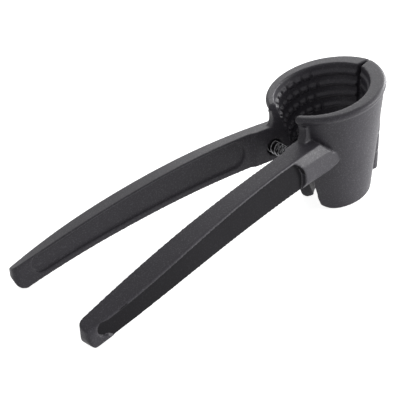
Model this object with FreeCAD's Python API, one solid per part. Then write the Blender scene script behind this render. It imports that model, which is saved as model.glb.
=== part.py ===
import FreeCAD, Part
import math
import os

# Lever nutcracker press, millimetres, +Z up. It lies as it does on a table: on the lower lip of the cup's mouth
# and on the two lever tips. The levers point along -X and swing in the plane of the table about an upright pin.

# Driving dimensions
rest_half_angle = 9.3           # each lever's swing away from the middle plane at rest, degrees
cup_lean = 10.5                 # the cup's own axis leans towards the levers by this much, degrees
cup_height = 57.0               # along the cup's own axis
cup_offset_x = 9.52             # hinge axis to the cup's own origin
cup_offset_z = 7.2              # table to the cup's own origin
cut_gap = 0.85                  # each half stops this far from the middle plane

# Cup, in its own upright frame: each wall is a leaning cone about an axis just over the middle plane
body_foot = dict(x=-25.1, y=-5.6, r=18.4, z=0.0)
body_head = dict(x=-22.2, y=-5.6, r=28.0, z=54.0)
bowl_x = -24.6
bowl_y = -6.8
bowl_foot_radius = 14.2
bowl_rim_radius = 24.0
foot_corner_radius = 5.0
foot_heel_radius = 3.5

# Rolled lip round the rim
lip_x = -22.5
lip_y = -5.6
lip_radius = 29.1               # widest, a little under the rim's flat top
lip_flat_radius = 27.3
lip_root = 3.0                  # its inner side, in from the bowl's rim
# Its outer edge: in from the widest, down from the top
lip_edge = ((0.35, 0.75), (0.0, 1.9), (0.5, 3.0), (1.6, 3.9), (2.3, 5.6))

# Ribs that grip the nut
rib_count = 8
rib_pitch = 5.4
rib_top = 52.6                  # height of the highest rib
rib_radius = 1.25
notch_count = 9                 # upright notches that break the ribs into teeth near the mouth
notch_step = 12.0               # degrees
notch_width = 1.3
notch_first = 172.0             # degrees round the bowl from the hinge

# Hinge, behind the cup's back wall; its knuckles taper like the casting
hinge_x = 5.0
knuckle_foot_radius = 4.3
knuckle_head_radius = 6.0
knuckle_clearance = 0.3
knuckle_gap = 0.3               # end gap between neighbours
knuckle_count = 5
hinge_low = 7.0
hinge_high = 55.0
pin_radius = 2.0
pin_running_clearance = 0.05
pin_foot = 7.7
pin_head = 53.2
pin_headroom = 0.6
pin_chamfer = 0.4

# Lever arm, in the frame of a lever turned back to the middle plane
arm_end = -180.4
arch_radius = 534.0             # the arm's middle line arches down towards the tip
arch_crown_x = -1.1
arch_crown_z = 36.1
tip_high_radius = 4.5           # seen from the side
tip_low_radius = 6.0
tip_nose_radius = 2.5           # seen from above
tip_flare = 40.0                # from the tip, the plan outline opens to this half width at the cup's origin
# Lower bevel, as shares of the outer face's height
low_bevel_width = 0.155
low_bevel_rise = 0.08           # its outer corner, up from the outer face's nominal foot
low_bevel_sag = 0.125           # its inner corner, down from there
# x, inner face y, outer face y, inner face height, outer face height, width and drop of the upper bevel
arm_stations = (
    (-34.0, 2.2, 13.2, 17.0, 14.2, 3.2, 4.2),
    (-64.0, 2.2, 11.9, 17.4, 15.0, 1.6, 4.8),
    (-97.0, 1.3, 11.3, 16.7, 14.3, 1.2, 4.6),
    (-120.0, 0.0, 10.8, 15.7, 12.6, 1.3, 4.1),
    (-142.0, -1.3, 9.7, 14.5, 10.8, 1.3, 3.5),
    (-163.0, -2.5, 7.2, 13.7, 9.6, 1.3, 3.1),
    (-188.0, -3.6, 1.6, 14.0, 9.4, 1.2, 3.0),
)

# The arm's head: a rounded end against the cup, and a thicker inner side
head_slope_top = (-47.5, 44.7)
head_slope_foot = (-37.4, 35.6)
head_nose = (-33.9, 32.2)
head_nose_foot = (-36.6, 28.2)
head_underside_x = -44.0        # where the line under the nose would meet the table
pad_y = 0.95                    # inner side of the head
pad_start = -61.0
pad_full = -57.0
pad_finish = -36.0
pad_merge_y = 2.6               # where the pad's slope runs into the arm's inner face
pad_depth = 5.0

# Pocket in the outer face: its foot runs out through the lower bevel except at its two ends
outer_head = -56.6
outer_head_bend = 6.0
outer_tip = -175.4
outer_tip_bend = 4.0
outer_lip = 1.2
outer_tip_lip = 2.0
outer_depth = 0.165             # share of the outer face's height
outer_head_sag = 1.5            # its head end is roundest this far under the arm's middle line
outer_run_out = 6.0             # it is carried down past the arm's foot by this much
outer_foot_slope = 10.0         # along the arm, on the way down at the tip
skin_over = 8.0                 # the cuts for the pocket and the recess start this far outside the arm
skin_reach = 20.0               # and reach this far up and down

# Shallow recess in the inner face
inner_head = -62.8
inner_tip = -171.0
inner_bend = 5.0
inner_top_lip = 1.3
inner_low_lip = 3.0
inner_depth = 1.3

# Web between the rim's corner and the arm's top
web_thickness = 4.5
web_top_x = -48.8
web_top_z = 50.0
web_foot_x = -50.2
web_foot_z = 41.5
web_hollow = 1.3                # how far its outer edge is hollowed

# Return spring between the arms, close to the cup, in the table's frame at rest
spring_x = -46.6
spring_z = 32.2
seat_radius = 4.0
seat_floor = 12.6               # middle plane to the floor of each seat
seat_clearance = 0.05
spring_wire = 0.9
spring_radius = 2.9             # to the middle of the wire
spring_turns = 9
spring_stub = 0.55              # seat to the middle of the wire where the turns begin

back_slit = 0.45                # half the slit between the two halves at the back of the cup, at rest

far = 300.0                     # past the whole piece
past = 60.0                     # past one arm
up = FreeCAD.Vector(0, 0, 1)
origin = FreeCAD.Vector(0, 0, 0)


def vec(x, y, z):
    return FreeCAD.Vector(x, y, z)


def circle_wire(x, y, z, r):
    return Part.Wire(Part.makeCircle(r, vec(x, y, z), up))


def box(low, high):
    size = vec(*high) - vec(*low)
    return Part.makeBox(size.x, size.y, size.z, vec(*low))


def lean_cup(shape):
    # From the cup's own upright frame to the table's frame
    placed = shape.copy()
    placed.rotate(origin, vec(0, 1, 0), -cup_lean)
    placed.translate(vec(cup_offset_x, 0, cup_offset_z))
    return placed


def extrude_side(edges, low_y, high_y):
    face = Part.Face(Part.Wire(edges))
    face.translate(vec(0, low_y, 0))
    return face.extrude(vec(0, high_y - low_y, 0))


def tapered_body():
    low = circle_wire(body_foot["x"], body_foot["y"], body_foot["z"], body_foot["r"])
    high = circle_wire(body_head["x"], body_head["y"], body_head["z"], body_head["r"])
    return Part.makeLoft([low, high], True, True)


def rolled_lip():
    # Flat top, rounded outer edge, and a hollow that runs back into the body
    inside = bowl_rim_radius - lip_root
    a = vec(inside, 0, cup_height)
    b = vec(lip_flat_radius, 0, cup_height)
    c, d, e, f, g = [vec(lip_radius - back, 0, cup_height - down) for back, down in lip_edge]
    h = vec(inside, 0, g.z)
    edges = [
        Part.LineSegment(a, b).toShape(),
        Part.Arc(b, c, d).toShape(),
        Part.LineSegment(d, e).toShape(),
        Part.Arc(e, f, g).toShape(),
        Part.LineSegment(g, h).toShape(),
        Part.LineSegment(h, a).toShape(),
    ]
    lip = Part.Face(Part.Wire(edges)).revolve(origin, up, 360)
    lip.translate(vec(lip_x, lip_y, 0))
    return lip


def cup_outline():
    # Side view of the cup with the foot's corners rounded off
    left = -60.0
    right = 12.0
    high = cup_height + 5.0
    front = body_foot["x"] - math.sqrt(body_foot["r"] ** 2 - body_foot["y"] ** 2)
    back = body_foot["x"] + math.sqrt(body_foot["r"] ** 2 - body_foot["y"] ** 2)
    corner = foot_corner_radius
    heel = foot_heel_radius
    knee = corner * (1 - math.cos(math.radians(45)))
    ankle = heel * (1 - math.cos(math.radians(45)))
    points = [
        vec(left, 0, high),
        vec(left, 0, corner + 2.0),
        vec(front, 0, corner),
        vec(front + corner, 0, 0),
        vec(back - heel, 0, 0),
        vec(back, 0, heel),
        vec(right, 0, heel + 2.0),
        vec(right, 0, high),
    ]
    edges = [
        Part.LineSegment(points[0], points[1]).toShape(),
        Part.LineSegment(points[1], points[2]).toShape(),
        Part.Arc(points[2], vec(front + knee, 0, knee), points[3]).toShape(),
        Part.LineSegment(points[3], points[4]).toShape(),
        Part.Arc(points[4], vec(back - ankle, 0, ankle), points[5]).toShape(),
        Part.LineSegment(points[5], points[6]).toShape(),
        Part.LineSegment(points[6], points[7]).toShape(),
        Part.LineSegment(points[7], points[0]).toShape(),
    ]
    return extrude_side(edges, cut_gap, 60.0)


def bowl():
    over = 4.0
    slope = (bowl_rim_radius - bowl_foot_radius) / cup_height
    low = bowl_foot_radius - over * slope
    high = bowl_rim_radius + over * slope
    return Part.makeCone(low, high, cup_height + 2 * over, vec(bowl_x, bowl_y, -over), up)


def bowl_radius(z):
    return bowl_foot_radius + (bowl_rim_radius - bowl_foot_radius) * z / cup_height


def notch_cutter(angle):
    # Upright slot that reaches through the ribs only
    cutter = box((0, -notch_width / 2, -1), (40.0, notch_width / 2, cup_height + 1))
    cutter.rotate(origin, up, angle)
    cutter.translate(vec(bowl_x, bowl_y, 0))
    return cutter


def grip_ribs():
    ribs = []
    for row in range(rib_count):
        z = rib_top - row * rib_pitch
        ring = Part.makeTorus(bowl_radius(z) + 0.15, rib_radius, vec(bowl_x, bowl_y, z), up)
        shift = notch_step / 2 if row % 2 else 0.0
        half_ring = ring.common(box((-far, cut_gap, z - 3.0), (far, far, z + 3.0)))
        angles = [notch_first - shift - index * notch_step for index in range(notch_count)]
        ribs.append(half_ring.cut([notch_cutter(angle) for angle in angles]))
    return ribs


def arm_middle(x):
    # Height of the arm's middle line, on an arc
    drop = arch_radius - math.sqrt(arch_radius ** 2 - (x - arch_crown_x) ** 2)
    return arch_crown_z - drop


def station_at(x):
    # Straight between the two stations either side
    for first, second in zip(arm_stations, arm_stations[1:]):
        if second[0] <= x <= first[0]:
            share = (x - first[0]) / (second[0] - first[0])
            return [a + share * (b - a) for a, b in zip(first, second)]
    return list(arm_stations[-1])


def arm_section(station):
    x, inner, outer, tall, short, bevel, drop = station
    z = arm_middle(x)
    points = [
        vec(x, inner, z - tall / 2),
        vec(x, inner, z + tall / 2),
        vec(x, outer - bevel, z + short / 2),
        vec(x, outer, z + short / 2 - drop),
        vec(x, outer, z - short * (0.5 - low_bevel_rise)),
        vec(x, outer - short * low_bevel_width, z - short * (0.5 + low_bevel_sag)),
    ]
    return Part.makePolygon(points + [points[0]])


def skin_section(station, low_y, high_y):
    x = station[0]
    z = arm_middle(x)
    low = z - skin_reach
    high = z + skin_reach
    points = [vec(x, low_y, low), vec(x, low_y, high), vec(x, high_y, high), vec(x, high_y, low)]
    return Part.makePolygon(points + [points[0]])


def edge_line(start, finish, height_at):
    # Smooth line along the arm between two places, a set height from the arm's middle
    places = [start] + [station[0] for station in arm_stations if finish < station[0] < start] + [finish]
    line = Part.BSplineCurve()
    line.interpolate([vec(x, 0, arm_middle(x) + height_at(station_at(x))) for x in places])
    return line.toShape()


def outer_outline():
    # Rounded at both ends, and open through the arm's foot between them
    top_head = outer_head - outer_head_bend
    top_tip = outer_tip + outer_tip_bend

    def top_at(station):
        return station[4] / 2 - outer_lip

    def foot_at(station):
        return outer_tip_lip - station[4] / 2

    head_top = vec(top_head, 0, arm_middle(top_head) + top_at(station_at(top_head)))
    head_mid = vec(outer_head, 0, arm_middle(outer_head) - outer_head_sag)
    head_foot = vec(top_head, 0, arm_middle(top_head) - station_at(top_head)[4] / 2 - outer_run_out)
    tip_top = vec(top_tip, 0, arm_middle(top_tip) + top_at(station_at(top_tip)))
    tip_mid = vec(outer_tip, 0, arm_middle(outer_tip))
    tip_foot = vec(top_tip, 0, arm_middle(top_tip) + foot_at(station_at(top_tip)))
    run_out = vec(top_tip + outer_foot_slope, 0, tip_foot.z - outer_run_out)
    edges = [
        edge_line(top_head, top_tip, top_at),
        Part.Arc(tip_top, tip_mid, tip_foot).toShape(),
        Part.LineSegment(tip_foot, run_out).toShape(),
        Part.LineSegment(run_out, head_foot).toShape(),
        Part.Arc(head_foot, head_mid, head_top).toShape(),
    ]
    return extrude_side(edges, -past, past)


def inner_outline():
    # Long slot with round ends
    head = inner_head - inner_bend
    tip = inner_tip + inner_bend

    def top_at(station):
        return station[3] / 2 - inner_top_lip

    def foot_at(station):
        return inner_low_lip - station[3] / 2

    def at(x, height_at):
        return vec(x, 0, arm_middle(x) + height_at(station_at(x)))

    edges = [
        edge_line(head, tip, top_at),
        Part.Arc(at(tip, top_at), vec(inner_tip, 0, arm_middle(inner_tip)), at(tip, foot_at)).toShape(),
        edge_line(head, tip, foot_at),
        Part.Arc(at(head, foot_at), vec(inner_head, 0, arm_middle(inner_head)), at(head, top_at)).toShape(),
    ]
    return extrude_side(Part.__sortEdges__(edges), -past, past)


def end_edges(to_point, low, high, low_corner, high_corner):
    # A long strip that ends at arm_end with two round corners
    low_bend = low_corner * (1 - math.cos(math.radians(45)))
    high_bend = high_corner * (1 - math.cos(math.radians(45)))
    a = to_point(0.0, high)
    b = to_point(arm_end + high_corner, high)
    c = to_point(arm_end, high - high_corner)
    d = to_point(arm_end, low + low_corner)
    e = to_point(arm_end + low_corner, low)
    f = to_point(0.0, low)
    return [
        Part.LineSegment(a, b).toShape(),
        Part.Arc(b, to_point(arm_end + high_bend, high - high_bend), c).toShape(),
        Part.LineSegment(c, d).toShape(),
        Part.Arc(d, to_point(arm_end + low_bend, low + low_bend), e).toShape(),
        Part.LineSegment(e, f).toShape(),
        Part.LineSegment(f, a).toShape(),
    ]


def tip_side_outline():
    # Turned to the slope of the arm at its tip
    x = arm_end + tip_low_radius
    slope = math.degrees(math.asin((arch_crown_x - x) / arch_radius))
    half = station_at(x)[3] / 2

    def to_point(along, height):
        spread = height + math.copysign(past, height) * (along > arm_end + tip_low_radius)
        return vec(along, 0, spread)

    outline = extrude_side(end_edges(to_point, -half, half, tip_low_radius, tip_high_radius), -past, past)
    outline.rotate(vec(x, 0, 0), vec(0, 1, 0), -slope)
    outline.translate(vec(0, 0, arm_middle(x)))
    return outline


def tip_plan_outline():
    x = arm_end + tip_nose_radius
    station = station_at(x)

    def to_point(along, side):
        return vec(along, side if along <= x else math.copysign(tip_flare, side), 0)

    edges = end_edges(to_point, station[1], station[2], tip_nose_radius, tip_nose_radius)
    face = Part.Face(Part.Wire(edges))
    face.translate(vec(0, 0, -past))
    return face.extrude(vec(0, 0, 3 * past))


def head_outline():
    # The arm's end at the cup, seen from the side
    slope_top = vec(head_slope_top[0], 0, head_slope_top[1])
    slope_foot = vec(head_slope_foot[0], 0, head_slope_foot[1])
    nose = vec(head_nose[0], 0, head_nose[1])
    nose_foot = vec(head_nose_foot[0], 0, head_nose_foot[1])
    low = vec(head_underside_x, 0, 0)
    low_end = vec(-far, 0, 0)
    high_end = vec(-far, 0, 2 * past)
    high = vec(head_slope_top[0], 0, 2 * past)
    edges = [
        Part.LineSegment(slope_top, slope_foot).toShape(),
        Part.Arc(slope_foot, nose, nose_foot).toShape(),
        Part.LineSegment(nose_foot, low).toShape(),
        Part.LineSegment(low, low_end).toShape(),
        Part.LineSegment(low_end, high_end).toShape(),
        Part.LineSegment(high_end, high).toShape(),
        Part.LineSegment(high, slope_top).toShape(),
    ]
    return extrude_side(edges, -past, past)


def inner_pad():
    # Thickens the head's inner side up to the cut between the levers, under the same sloping top
    deep = pad_depth + 1.0
    slab = []
    for x, inner, outer, tall, short, bevel, drop in arm_stations[:3]:
        low = arm_middle(x) - tall / 2
        fall = (tall - short) / 2 / (outer - bevel - inner)
        high = arm_middle(x) + tall / 2 + fall * inner
        corners = [vec(x, 0, low), vec(x, 0, high), vec(x, deep, high - fall * deep), vec(x, deep, low)]
        slab.append(Part.makePolygon(corners + [corners[0]]))
    plan = [
        vec(pad_finish, pad_y, 0),
        vec(pad_full, pad_y, 0),
        vec(pad_start, pad_merge_y, 0),
        vec(pad_start, pad_depth, 0),
        vec(pad_finish, pad_depth, 0),
    ]
    prism = Part.Face(Part.makePolygon(plan + [plan[0]])).extrude(vec(0, 0, 2 * past))
    return Part.makeLoft(slab, True, False).common(prism)


def lever_arm():
    arm = Part.makeLoft([arm_section(station) for station in arm_stations], True, False)
    arm = arm.common(tip_side_outline()).common(tip_plan_outline())
    outer_skin = [skin_section(s, s[2] - outer_depth * s[4], s[2] + skin_over) for s in arm_stations]
    outer_cut = Part.makeLoft(outer_skin, True, False).common(outer_outline())
    inner_skin = [skin_section(s, s[1] - skin_over, s[1] + inner_depth) for s in arm_stations]
    inner_cut = Part.makeLoft(inner_skin, True, False).common(inner_outline())
    return arm.cut(outer_cut).cut(inner_cut).fuse(inner_pad()).common(head_outline())


def corner_web():
    # Joins the rim's corner at the mouth to the top of the arm, with a hollow edge
    top = vec(web_top_x, 0, web_top_z)
    foot = vec(web_foot_x, 0, web_foot_z)
    middle = (top + foot) * 0.5 + vec(web_hollow, 0, -web_hollow / 2)
    inside_low = vec(web_top_x + 8.0, 0, web_foot_z - 4.0)
    inside_high = vec(web_top_x + 8.0, 0, web_top_z)
    foot_low = vec(web_foot_x, 0, web_foot_z - 4.0)
    edges = [
        Part.Arc(top, middle, foot).toShape(),
        Part.LineSegment(foot, foot_low).toShape(),
        Part.LineSegment(foot_low, inside_low).toShape(),
        Part.LineSegment(inside_low, inside_high).toShape(),
        Part.LineSegment(inside_high, top).toShape(),
    ]
    return extrude_side(edges, cut_gap, cut_gap + web_thickness)


def half_casting():
    # One lever without its knuckles, on the +Y side, turned back to the middle plane
    shell = tapered_body().fuse(rolled_lip()).common(cup_outline())
    cavity = lean_cup(bowl())
    casting = lean_cup(shell).fuse([lever_arm(), corner_web()])
    casting = casting.cut(cavity)
    keep = box((-far, cut_gap, -far), (far, far, far))
    ribs = [lean_cup(rib).common(keep) for rib in grip_ribs()]
    return casting.fuse(ribs).removeSplitter()


def knuckle_span(index):
    pitch = (hinge_high - hinge_low) / knuckle_count
    return hinge_low + index * pitch, hinge_low + (index + 1) * pitch


def upright(radius, low, high):
    return Part.makeCylinder(radius, high - low, vec(hinge_x, 0, low), up)


def knuckle(index, spare):
    # One piece of the tapered barrel, or with spare the room that it turns in
    low, high = knuckle_span(index)
    ease = knuckle_gap / 2 if spare == 0 else -knuckle_gap / 2
    low += ease
    high -= ease
    slope = (knuckle_head_radius - knuckle_foot_radius) / (hinge_high - hinge_low)
    low_radius = knuckle_foot_radius + slope * (low - hinge_low) + spare
    high_radius = knuckle_foot_radius + slope * (high - hinge_low) + spare
    return Part.makeCone(low_radius, high_radius, high - low, vec(hinge_x, 0, low), up)


def with_knuckles(lever, own, other, bore):
    # Knuckles of one lever, and room for the other lever's knuckles between them
    cavity = lean_cup(bowl())
    bowls = [cavity, cavity.mirror(origin, vec(0, 1, 0))]
    bowls[0].rotate(origin, up, -rest_half_angle)
    bowls[1].rotate(origin, up, rest_half_angle)
    barrels = [knuckle(index, 0).cut(bowls) for index in own]
    rooms = [knuckle(index, knuckle_clearance) for index in other]
    hole = upright(bore, hinge_low - 1.0, pin_head + pin_headroom)
    return lever.cut(rooms).fuse(barrels).cut(hole)


def hinge_pin():
    pin = upright(pin_radius, pin_foot, pin_head)
    ends = [edge for edge in pin.Edges if len(edge.Vertexes) == 1 and edge.Length < 7 * pin_radius]
    return pin.makeChamfer(pin_chamfer, ends)


def spring_seat(side):
    # Round seat sunk into the inner face of one arm
    reach = 8.0
    return Part.makeCylinder(seat_radius, reach, vec(spring_x, side * seat_floor, spring_z), vec(0, -side, 0))


def at_rest(half, side):
    # Swing a lever open from the middle plane and finish what is square to the table's frame
    lever = half.copy()
    lever.rotate(origin, up, -rest_half_angle * side)
    slit = box((1.0, -back_slit, -5.0), (12.0, back_slit, 80.0))
    return lever.cut([spring_seat(side), slit])


def helix_point(turn):
    # Point and direction on the spring's middle line, turns counted from the first seat
    rise = 2 * (seat_floor - seat_clearance - spring_stub) / spring_turns
    angle = 2 * math.pi * turn
    foot = -seat_floor + seat_clearance + spring_stub
    round_part = vec(math.cos(angle), 0, math.sin(angle)) * spring_radius
    point = vec(spring_x, foot + rise * turn, spring_z) + round_part
    heading = vec(-math.sin(angle), 0, math.cos(angle)) * (2 * math.pi * spring_radius) + vec(0, rise, 0)
    return point, heading.normalize()


def biarc(start, heading, finish, next_heading):
    # Two arcs that meet smoothly half way between two headings
    chord = finish - start
    both = heading + next_heading
    a = 2 * (1 - heading.dot(next_heading))
    b = 2 * chord.dot(both)
    reach = (-b + math.sqrt(b * b + 4 * a * chord.dot(chord))) / (2 * a)
    first_corner = start + heading * reach
    second_corner = finish - next_heading * reach
    joint = (first_corner + second_corner) * 0.5
    return [arc_between(start, first_corner, joint), arc_between(joint, second_corner, finish)]


def arc_between(start, corner, finish):
    # Arc that leaves start towards the corner and arrives at finish from it
    middle = (start + finish) * 0.5
    half_chord = (finish - start).Length / 2
    height = (corner - middle).Length
    side = math.hypot(half_chord, height)
    sagitta = half_chord * (side - half_chord) / height
    top = middle + (corner - middle).normalize() * sagitta
    return Part.Arc(start, top, finish).toShape()


def spring_path():
    # Straight stub, turns, straight stub
    edges = []
    quarters = 4 * spring_turns
    for index in range(quarters):
        start, heading = helix_point(index / 4)
        finish, next_heading = helix_point((index + 1) / 4)
        edges.extend(biarc(start, heading, finish, next_heading))
    start, heading = helix_point(0)
    finish, last_heading = helix_point(spring_turns)
    before = Part.LineSegment(start - heading * spring_wire, start).toShape()
    after = Part.LineSegment(finish, finish + last_heading * spring_wire).toShape()
    return Part.Wire([before] + edges + [after])


def least_gap(path):
    # Smallest distance between two stretches of the wire's skin that aren't neighbours along it
    points = path.discretize(Distance=0.3)
    skip = int(2 * spring_radius / 0.3)
    least = min((a - b).Length for i, a in enumerate(points) for b in points[i + skip:])
    return least - spring_wire


def return_spring():
    path = spring_path()
    print("spring: least gap between turns", round(least_gap(path), 2), "mm")
    start = path.OrderedVertexes[0].Point
    heading = helix_point(0)[1]
    profile = Part.Wire(Part.makeCircle(spring_wire / 2, start, heading))
    return path.makePipeShell([profile], True, False)


def main():
    os.makedirs("parts", exist_ok=True)
    half = half_casting()
    rear_own = range(0, knuckle_count, 2)
    front_own = range(1, knuckle_count, 2)
    rear = at_rest(half, 1)
    front = at_rest(half.mirror(origin, vec(0, 1, 0)), -1)
    pieces = {
        "rear_lever": with_knuckles(rear, rear_own, front_own, pin_radius),
        "front_lever": with_knuckles(front, front_own, rear_own, pin_radius + pin_running_clearance),
        "hinge_pin": hinge_pin(),
        "return_spring": return_spring(),
    }
    # The origin goes to the middle of the footprint, on the table
    frame = Part.makeCompound(list(pieces.values())).optimalBoundingBox(True, False)
    shift = vec(-(frame.XMin + frame.XMax) / 2, -(frame.YMin + frame.YMax) / 2, -frame.ZMin)
    for name, shape in pieces.items():
        solid = shape.Solids[0]
        solid.translate(shift)
        solid.exportStep("parts/" + name + ".step")
        print(name, "valid", solid.isValid(), "solids", len(shape.Solids), "volume", round(solid.Volume, 1))
    print("size", round(frame.XLength, 2), round(frame.YLength, 2), round(frame.ZLength, 2))
    print("hinge axis at x", round(hinge_x + shift.x, 4), "y", round(shift.y, 4), "lift", round(shift.z, 4))


main()
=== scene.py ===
import math
import bpy
from mathutils import Matrix, Vector


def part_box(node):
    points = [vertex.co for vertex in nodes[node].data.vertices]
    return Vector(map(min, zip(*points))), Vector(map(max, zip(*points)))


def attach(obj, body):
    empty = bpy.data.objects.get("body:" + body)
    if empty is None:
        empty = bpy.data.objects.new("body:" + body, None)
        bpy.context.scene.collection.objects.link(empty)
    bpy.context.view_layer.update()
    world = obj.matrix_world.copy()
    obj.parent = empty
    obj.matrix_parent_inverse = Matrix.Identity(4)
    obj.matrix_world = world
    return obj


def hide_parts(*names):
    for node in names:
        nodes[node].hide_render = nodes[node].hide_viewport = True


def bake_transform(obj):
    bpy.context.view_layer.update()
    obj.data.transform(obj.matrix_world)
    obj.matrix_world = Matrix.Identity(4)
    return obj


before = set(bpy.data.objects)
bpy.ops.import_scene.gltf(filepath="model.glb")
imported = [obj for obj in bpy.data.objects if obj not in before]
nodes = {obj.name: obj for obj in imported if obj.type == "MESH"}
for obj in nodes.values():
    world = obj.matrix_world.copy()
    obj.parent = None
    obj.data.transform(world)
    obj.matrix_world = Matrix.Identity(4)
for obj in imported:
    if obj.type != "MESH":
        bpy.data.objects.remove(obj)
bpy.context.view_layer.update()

print("frame loaded:", ", ".join(sorted(nodes)))


def clearSelection():
    if bpy.context.mode != "OBJECT":
        bpy.ops.object.mode_set(mode="OBJECT")
    bpy.ops.object.select_all(action="DESELECT")


def pick(piece):
    clearSelection()
    piece.select_set(True)
    bpy.context.view_layer.objects.active = piece


def applyAll(piece):
    pick(piece)
    for modifier in list(piece.modifiers):
        bpy.ops.object.modifier_apply(modifier=modifier.name)


def settle(piece):
    # leaves the object at the origin with its place in its mesh
    pick(piece)
    bpy.ops.object.transform_apply(location=True, rotation=True, scale=True)


# finishes

def newGroup(name, inputs, outputs):
    group = bpy.data.node_groups.new(name, "ShaderNodeTree")
    for label in inputs:
        group.interface.new_socket(name=label, in_out="INPUT", socket_type="NodeSocketFloat")
    for label in outputs:
        group.interface.new_socket(name=label, in_out="OUTPUT", socket_type="NodeSocketFloat")
    return group, group.nodes.new("NodeGroupInput"), group.nodes.new("NodeGroupOutput")


def add(tree, kind, **values):
    node = tree.nodes.new(kind)
    for key, value in values.items():
        if key in node.inputs:
            node.inputs[key].default_value = value
        else:
            setattr(node, key, value)
    return node


def stretch(tree, source, edges=(0.0, 1.0), ends=(0.0, 1.0)):
    # maps what lies between the edges onto the ends
    node = add(tree, "ShaderNodeMapRange")
    for label, value in zip(("From Min", "From Max", "To Min", "To Max"), (*edges, *ends)):
        node.inputs[label].default_value = value
    tree.links.new(source, node.inputs["Value"])
    return node.outputs["Result"]


def noise(tree, scale, settings):
    # noise laid out on the piece's own coordinates
    place = add(tree, "ShaderNodeTexCoord")
    node = add(tree, "ShaderNodeTexNoise", **settings)
    tree.links.new(place.outputs["Object"], node.inputs["Vector"])
    tree.links.new(scale, node.inputs["Scale"])
    return node.outputs["Fac"]


grainSettings = {
    "peel": {"Detail": 3.0, "Roughness": 0.6},
    "fleck": {"Detail": 1.0, "Roughness": 0.5},
    "cloud": {"Detail": 2.0, "Roughness": 0.5},
    "fleckEdges": (0.52, 0.72),
    "cloudEdges": (0.3, 0.7),
}


def powderGrain(settings):
    # orange-peel height, fine pale flecks and slow cloudiness of a sprayed and baked coat
    scales = ("Grain Scale", "Fleck Scale", "Cloud Scale")
    group, given, out = newGroup("powderGrain", scales, ("Height", "Flecks", "Clouds"))
    peel = noise(group, given.outputs["Grain Scale"], settings["peel"])
    fleck = noise(group, given.outputs["Fleck Scale"], settings["fleck"])
    cloud = noise(group, given.outputs["Cloud Scale"], settings["cloud"])
    group.links.new(peel, out.inputs["Height"])
    group.links.new(stretch(group, fleck, settings["fleckEdges"]), out.inputs["Flecks"])
    group.links.new(stretch(group, cloud, settings["cloudEdges"]), out.inputs["Clouds"])
    return group


drawSettings = {
    "marks": {"Detail": 4.0, "Roughness": 0.65},
    "markEdges": (0.35, 0.65),
}


def wireDraw(settings):
    # fine dark die marks along drawn wire and ground pins
    group, given, out = newGroup("wireDraw", ("Mark Scale",), ("Height", "Marks"))
    marks = noise(group, given.outputs["Mark Scale"], settings["marks"])
    group.links.new(marks, out.inputs["Height"])
    group.links.new(stretch(group, marks, settings["markEdges"]), out.inputs["Marks"])
    return group


grainGroup = powderGrain(grainSettings)
drawGroup = wireDraw(drawSettings)


def startMaterial(name):
    material = bpy.data.materials.new(name)
    material.use_nodes = True
    shader = material.node_tree.nodes["Principled BSDF"]
    return material, material.node_tree, shader


def useGroup(tree, group, scales):
    node = tree.nodes.new("ShaderNodeGroup")
    node.node_tree = group
    for label, value in scales.items():
        node.inputs[label].default_value = value
    return node


def mixColour(tree, factor, first, second):
    # each of the two is a colour or a socket
    mix = add(tree, "ShaderNodeMix", data_type="RGBA")
    for socket, colour in ((mix.inputs[6], first), (mix.inputs[7], second)):
        if isinstance(colour, tuple):
            socket.default_value = (*colour, 1)
        else:
            tree.links.new(colour, socket)
    tree.links.new(factor, mix.inputs[0])
    return mix.outputs[2]


coatSettings = {
    "scales": {"Grain Scale": 1400.0, "Fleck Scale": 1700.0, "Cloud Scale": 55.0},
    "dark": (0.030, 0.0280, 0.0345),
    "light": (0.038, 0.0355, 0.0435),
    "fleck": (0.112, 0.106, 0.122),
    "fleckShare": 0.36,
    # painted shade: the colour of the marked pocket floors and top walls is multiplied by pocketShade
    "pocketShade": 0.30,
    "roughLow": 0.40,
    "roughHigh": 0.52,
    "pocketRough": 1.0,
    "peelDepth": 0.00006,
    "peelStrength": 0.5,
    "shine": 0.34,
}


def charcoalCoat(settings):
    material, tree, shader = startMaterial("charcoalCoat")
    shader.inputs["Specular IOR Level"].default_value = settings["shine"]
    grain = useGroup(tree, grainGroup, settings["scales"])
    base = mixColour(tree, grain.outputs["Clouds"], settings["dark"], settings["light"])
    share = stretch(tree, grain.outputs["Flecks"], ends=(0.0, settings["fleckShare"]))
    flecked = mixColour(tree, share, base, settings["fleck"])
    rough = stretch(tree, grain.outputs["Flecks"], ends=(settings["roughHigh"], settings["roughLow"]))
    bump = add(tree, "ShaderNodeBump", Strength=settings["peelStrength"], Distance=settings["peelDepth"])
    # the marked outer pocket floors and top walls under the lip get painted shade, their colour darkened,
    # and a rougher, duller skin, where the casting carries that mark
    pocket = add(tree, "ShaderNodeAttribute", attribute_name="paintedShadeRoughSkin")
    shade = stretch(tree, pocket.outputs["Fac"], ends=(1.0, settings["pocketShade"]))
    paintedShadeColour = add(tree, "ShaderNodeVectorMath", operation="SCALE")
    dull = add(tree, "ShaderNodeMix", data_type="FLOAT")
    dull.inputs[3].default_value = settings["pocketRough"]
    link = tree.links.new
    link(flecked, paintedShadeColour.inputs[0])
    link(shade, paintedShadeColour.inputs["Scale"])
    link(paintedShadeColour.outputs["Vector"], shader.inputs["Base Color"])
    link(pocket.outputs["Fac"], dull.inputs[0])
    link(rough, dull.inputs[2])
    link(dull.outputs[0], shader.inputs["Roughness"])
    link(grain.outputs["Height"], bump.inputs["Height"])
    link(bump.outputs["Normal"], shader.inputs["Normal"])
    return material


markSettings = {
    "scales": {"Mark Scale": 1200.0},
    "strength": 0.25,
    "depth": 0.00002,
}

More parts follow.
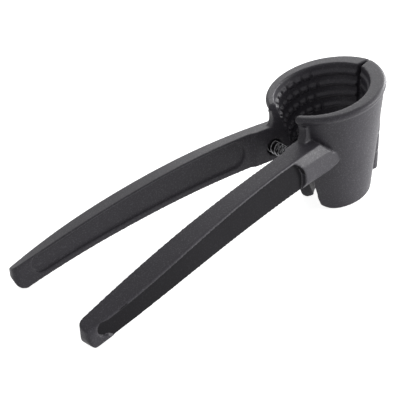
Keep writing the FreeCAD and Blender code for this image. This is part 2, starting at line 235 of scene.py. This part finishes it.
steelSettings = {
    "springSteel": {
        "dark": (0.08, 0.08, 0.085),
        "light": (0.26, 0.26, 0.27),
        "roughLow": 0.20,
        "roughHigh": 0.38,
    },
    "pinSteel": {
        "dark": (0.36, 0.36, 0.37),
        "light": (0.56, 0.56, 0.57),
        "roughLow": 0.25,
        "roughHigh": 0.45,
    },
}


def steel(name):
    settings = steelSettings[name]
    material, tree, shader = startMaterial(name)
    shader.inputs["Metallic"].default_value = 1.0
    marks = useGroup(tree, drawGroup, markSettings["scales"])
    tone = mixColour(tree, marks.outputs["Marks"], settings["dark"], settings["light"])
    rough = stretch(tree, marks.outputs["Marks"], ends=(settings["roughHigh"], settings["roughLow"]))
    bump = add(tree, "ShaderNodeBump", Strength=markSettings["strength"], Distance=markSettings["depth"])
    link = tree.links.new
    link(tone, shader.inputs["Base Color"])
    link(rough, shader.inputs["Roughness"])
    link(marks.outputs["Height"], bump.inputs["Height"])
    link(bump.outputs["Normal"], shader.inputs["Normal"])
    return material


coat = charcoalCoat(coatSettings)
springSteel = steel("springSteel")
pinSteel = steel("pinSteel")
print("finishes made")


def dress(piece, material):
    piece.data.materials.clear()
    piece.data.materials.append(material)


for cadNode in nodes.values():
    dress(cadNode, coat)
dress(nodes["hinge_pin"], pinSteel)
dress(nodes["return_spring"], springSteel)

# levers: the cast bodies, with the coat rounding their sharp edges

leverSettings = {
    "merge": 0.00001,
    "voxel": 0.00034,
    "softening": 0.5,
    "passes": 11,
    "trianglesKept": 180000,
    "restHalfAngle": 9.3,
    "hingeX": 0.0835864,
    "pocketAlong": (-0.176, -0.0565),
    "floorPlaces": (-0.188, -0.163, -0.142, -0.120, -0.097, -0.064, -0.034),
    "floorOffsets": (0.0001, 0.0056, 0.0079, 0.0087, 0.0089, 0.0094, 0.0109),
    "floorReach": 0.0006,
    "wallReach": 0.0030,
    "floorFacing": 0.9,
    "wallFacing": -0.3,
}


def between(value, places, amounts):
    # straight between the listed places
    for index in range(len(places) - 1):
        if places[index] <= value <= places[index + 1]:
            share = (value - places[index]) / (places[index + 1] - places[index])
            return amounts[index] + share * (amounts[index + 1] - amounts[index])
    return amounts[-1]


def markPocket(casting, side, settings):
    # marks the floor and the top wall of the outer pocket for painted shade and a rougher skin,
    # found by their place with the lever turned back to the middle
    back = Matrix.Rotation(math.radians(settings["restHalfAngle"] * side), 3, "Z")
    start, finish = settings["pocketAlong"]
    marks = []
    for face in casting.data.polygons:
        place = back @ (face.center - Vector((settings["hingeX"], 0, 0)))
        outward = (back @ face.normal).y * side
        sunk = place.y * side - between(place.x, settings["floorPlaces"], settings["floorOffsets"])
        onFloor = abs(sunk) < settings["floorReach"] and outward > settings["floorFacing"]
        underTop = -settings["floorReach"] < sunk < settings["wallReach"]
        onWall = underTop and face.normal.z < settings["wallFacing"]
        marks.append(1.0 if (onFloor or onWall) and start < place.x < finish else 0.0)
    shadeAndSkin = casting.data.attributes.new("paintedShadeRoughSkin", "FLOAT", "FACE")
    shadeAndSkin.data.foreach_set("value", marks)
    return int(sum(marks))


def dropTwinFaces(casting):
    # two triangles on the same three corners, left over where a sliver closed up
    facesAt = {}
    for face in casting.data.polygons:
        facesAt.setdefault(tuple(sorted(face.vertices)), []).append(face.index)
    twins = {index for found in facesAt.values() if len(found) > 1 for index in found}
    pick(casting)
    bpy.ops.object.mode_set(mode="EDIT")
    bpy.ops.mesh.select_mode(type="FACE")
    bpy.ops.mesh.select_all(action="DESELECT")
    bpy.ops.object.mode_set(mode="OBJECT")
    for index in twins:
        casting.data.polygons[index].select = True
    bpy.ops.object.mode_set(mode="EDIT")
    bpy.ops.mesh.delete(type="FACE")
    bpy.ops.object.mode_set(mode="OBJECT")
    return len(twins)


def roundedCasting(nodeName, pieceName, body, side, settings):
    source = nodes[nodeName]
    casting = bpy.data.objects.new(pieceName, source.data.copy())
    bpy.context.scene.collection.objects.link(casting)
    pick(casting)
    bpy.ops.object.mode_set(mode="EDIT")
    bpy.ops.mesh.select_all(action="SELECT")
    bpy.ops.mesh.remove_doubles(threshold=settings["merge"])
    bpy.ops.object.mode_set(mode="OBJECT")
    remesh = casting.modifiers.new("evenSkin", "REMESH")
    remesh.mode = "VOXEL"
    remesh.voxel_size = settings["voxel"]
    remesh.adaptivity = 0.0
    smooth = casting.modifiers.new("softEdges", "SMOOTH")
    smooth.factor = settings["softening"]
    smooth.iterations = settings["passes"]
    applyAll(casting)
    triangles = 2 * len(casting.data.polygons)
    if triangles > settings["trianglesKept"]:
        thin = casting.modifiers.new("fewerFaces", "DECIMATE")
        thin.ratio = settings["trianglesKept"] / triangles
        applyAll(casting)
    dropped = dropTwinFaces(casting)
    pick(casting)
    bpy.ops.object.shade_smooth()
    marked = markPocket(casting, side, settings)
    dress(casting, coat)
    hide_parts(nodeName)
    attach(casting, body)
    print(pieceName, "faces", len(casting.data.polygons), "twins dropped", dropped, "pocket faces", marked)


roundedCasting("rear_lever", "rearCasting", "rear", 1, leverSettings)
roundedCasting("front_lever", "frontCasting", "front", -1, leverSettings)
print("levers done")

# return spring

springLow, springHigh = (Vector(corner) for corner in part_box("return_spring"))
springSettings = {
    "wire": 0.0009,
    "turns": 9,
    "stepsPerTurn": 28,
    "sides": 10,
}


def returnSpring(settings):
    middle = (springLow + springHigh) / 2
    across = springHigh.x - springLow.x
    reach = springHigh.y - springLow.y - settings["wire"]
    clearSelection()
    bpy.ops.mesh.primitive_circle_add(vertices=settings["sides"], radius=settings["wire"] / 2,
                                      fill_type="NGON", location=(0, 0, 0))
    spring = bpy.context.active_object
    spring.name = "springCoil"
    bpy.ops.object.mode_set(mode="EDIT")
    bpy.ops.mesh.select_all(action="SELECT")
    bpy.ops.transform.translate(value=((across - settings["wire"]) / 2, 0, 0))
    bpy.ops.mesh.delete(type="ONLY_FACE")
    bpy.ops.object.mode_set(mode="OBJECT")
    coil = spring.modifiers.new("turns", "SCREW")
    coil.axis = "Y"
    coil.angle = math.tau
    coil.iterations = settings["turns"]
    coil.screw_offset = reach / settings["turns"]
    coil.steps = settings["stepsPerTurn"]
    coil.render_steps = settings["stepsPerTurn"]
    coil.use_smooth_shade = True
    applyAll(spring)
    bpy.ops.object.mode_set(mode="EDIT")
    bpy.ops.mesh.select_all(action="SELECT")
    bpy.ops.mesh.fill_holes(sides=settings["sides"])
    bpy.ops.mesh.normals_make_consistent(inside=False)
    bpy.ops.object.mode_set(mode="OBJECT")
    spring.location = (middle.x, middle.y - reach / 2, middle.z)
    settle(spring)
    dress(spring, springSteel)
    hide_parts("return_spring")
    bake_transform(spring)
    print("spring faces", len(spring.data.polygons))


returnSpring(springSettings)

# table, backdrop and light

stageSettings = {
    "floorSize": 6.0,
    "floorDrop": 0.0002,
    "floorColour": (0.62, 0.62, 0.62),
    "floorRough": 0.9,
    "floorShine": 0.1,
    "cameraGlow": 0.86,
    "worldColour": (1.0, 1.0, 1.0),
    "worldLight": 0.40,
    "backdropLight": 1.0,
}


def whiteRays(tree):
    # one for what the camera sees of the backdrop, straight or in a shiny surface
    path = add(tree, "ShaderNodeLightPath")
    either = add(tree, "ShaderNodeMath", operation="MAXIMUM")
    tree.links.new(path.outputs["Is Camera Ray"], either.inputs[0])
    tree.links.new(path.outputs["Is Glossy Ray"], either.inputs[1])
    return either.outputs[0]


def whiteFloor(settings):
    clearSelection()
    bpy.ops.mesh.primitive_plane_add(size=settings["floorSize"], location=(0, 0, -settings["floorDrop"]))
    floor = bpy.context.active_object
    floor.name = "tableTop"
    material, tree, shader = startMaterial("paleTable")
    shader.inputs["Base Color"].default_value = (*settings["floorColour"], 1)
    shader.inputs["Roughness"].default_value = settings["floorRough"]
    shader.inputs["Specular IOR Level"].default_value = settings["floorShine"]
    glow = add(tree, "ShaderNodeEmission", Strength=settings["cameraGlow"])
    seen = whiteRays(tree)
    both = add(tree, "ShaderNodeAddShader")
    onlySeen = add(tree, "ShaderNodeMixShader")
    output = tree.nodes["Material Output"]
    link = tree.links.new
    link(shader.outputs[0], both.inputs[0])
    link(glow.outputs[0], both.inputs[1])
    link(seen, onlySeen.inputs[0])
    link(shader.outputs[0], onlySeen.inputs[1])
    link(both.outputs[0], onlySeen.inputs[2])
    link(onlySeen.outputs[0], output.inputs["Surface"])
    dress(floor, material)


def whiteWorld(settings):
    world = bpy.data.worlds.new("studio")
    bpy.context.scene.world = world
    world.use_nodes = True
    tree = world.node_tree
    light = tree.nodes["Background"]
    light.inputs["Color"].default_value = (*settings["worldColour"], 1)
    light.inputs["Strength"].default_value = settings["worldLight"]
    backdrop = add(tree, "ShaderNodeBackground", Strength=settings["backdropLight"])
    seen = whiteRays(tree)
    choose = add(tree, "ShaderNodeMixShader")
    link = tree.links.new
    link(seen, choose.inputs[0])
    link(light.outputs[0], choose.inputs[1])
    link(backdrop.outputs[0], choose.inputs[2])
    link(choose.outputs[0], tree.nodes["World Output"].inputs["Surface"])


lampAim = (0, 0, 0.03)
lampSettings = [
    {"name": "backSoftbox", "place": (0.50, 0.60, 0.50), "size": 0.6, "watts": 2.6},
    {"name": "rightPanel", "place": (0.70, -0.50, 0.18), "size": 0.35, "watts": 7.0},
    {"name": "rightStrip", "place": (0.70, 0.10, 0.25), "size": 0.3, "watts": 5.6},
]


def softLamp(settings):
    clearSelection()
    place = Vector(settings["place"])
    turn = (Vector(lampAim) - place).to_track_quat("-Z", "Y").to_euler()
    bpy.ops.object.light_add(type="AREA", location=place, rotation=turn)
    lamp = bpy.context.active_object
    lamp.name = settings["name"]
    lamp.data.shape = "SQUARE"
    lamp.data.size = settings["size"]
    lamp.data.energy = settings["watts"]


whiteFloor(stageSettings)
whiteWorld(stageSettings)
for lamp in lampSettings:
    softLamp(lamp)
print("stage lit")

# camera at the photograph's place

cameraSettings = {
    "place": (-0.28054, -0.37803, 0.28599),
    "azimuth": -35.25,
    "elevation": 29.30,
    "roll": -3.16,
    "lens": 108.72,
    "sensor": 36.0,
    "near": 0.01,
    "far": 20.0,
}


def photoCamera(settings):
    turn = (Matrix.Rotation(math.radians(settings["azimuth"]), 3, "Z")
            @ Matrix.Rotation(math.radians(90 - settings["elevation"]), 3, "X")
            @ Matrix.Rotation(math.radians(settings["roll"]), 3, "Z"))
    clearSelection()
    bpy.ops.object.camera_add(location=settings["place"], rotation=turn.to_euler())
    camera = bpy.context.active_object
    camera.data.sensor_width = settings["sensor"]
    camera.data.lens = settings["lens"]
    camera.data.clip_start = settings["near"]
    camera.data.clip_end = settings["far"]
    bpy.context.scene.camera = camera


photoCamera(cameraSettings)
bpy.context.scene.view_settings.view_transform = "Standard"
print("camera set")
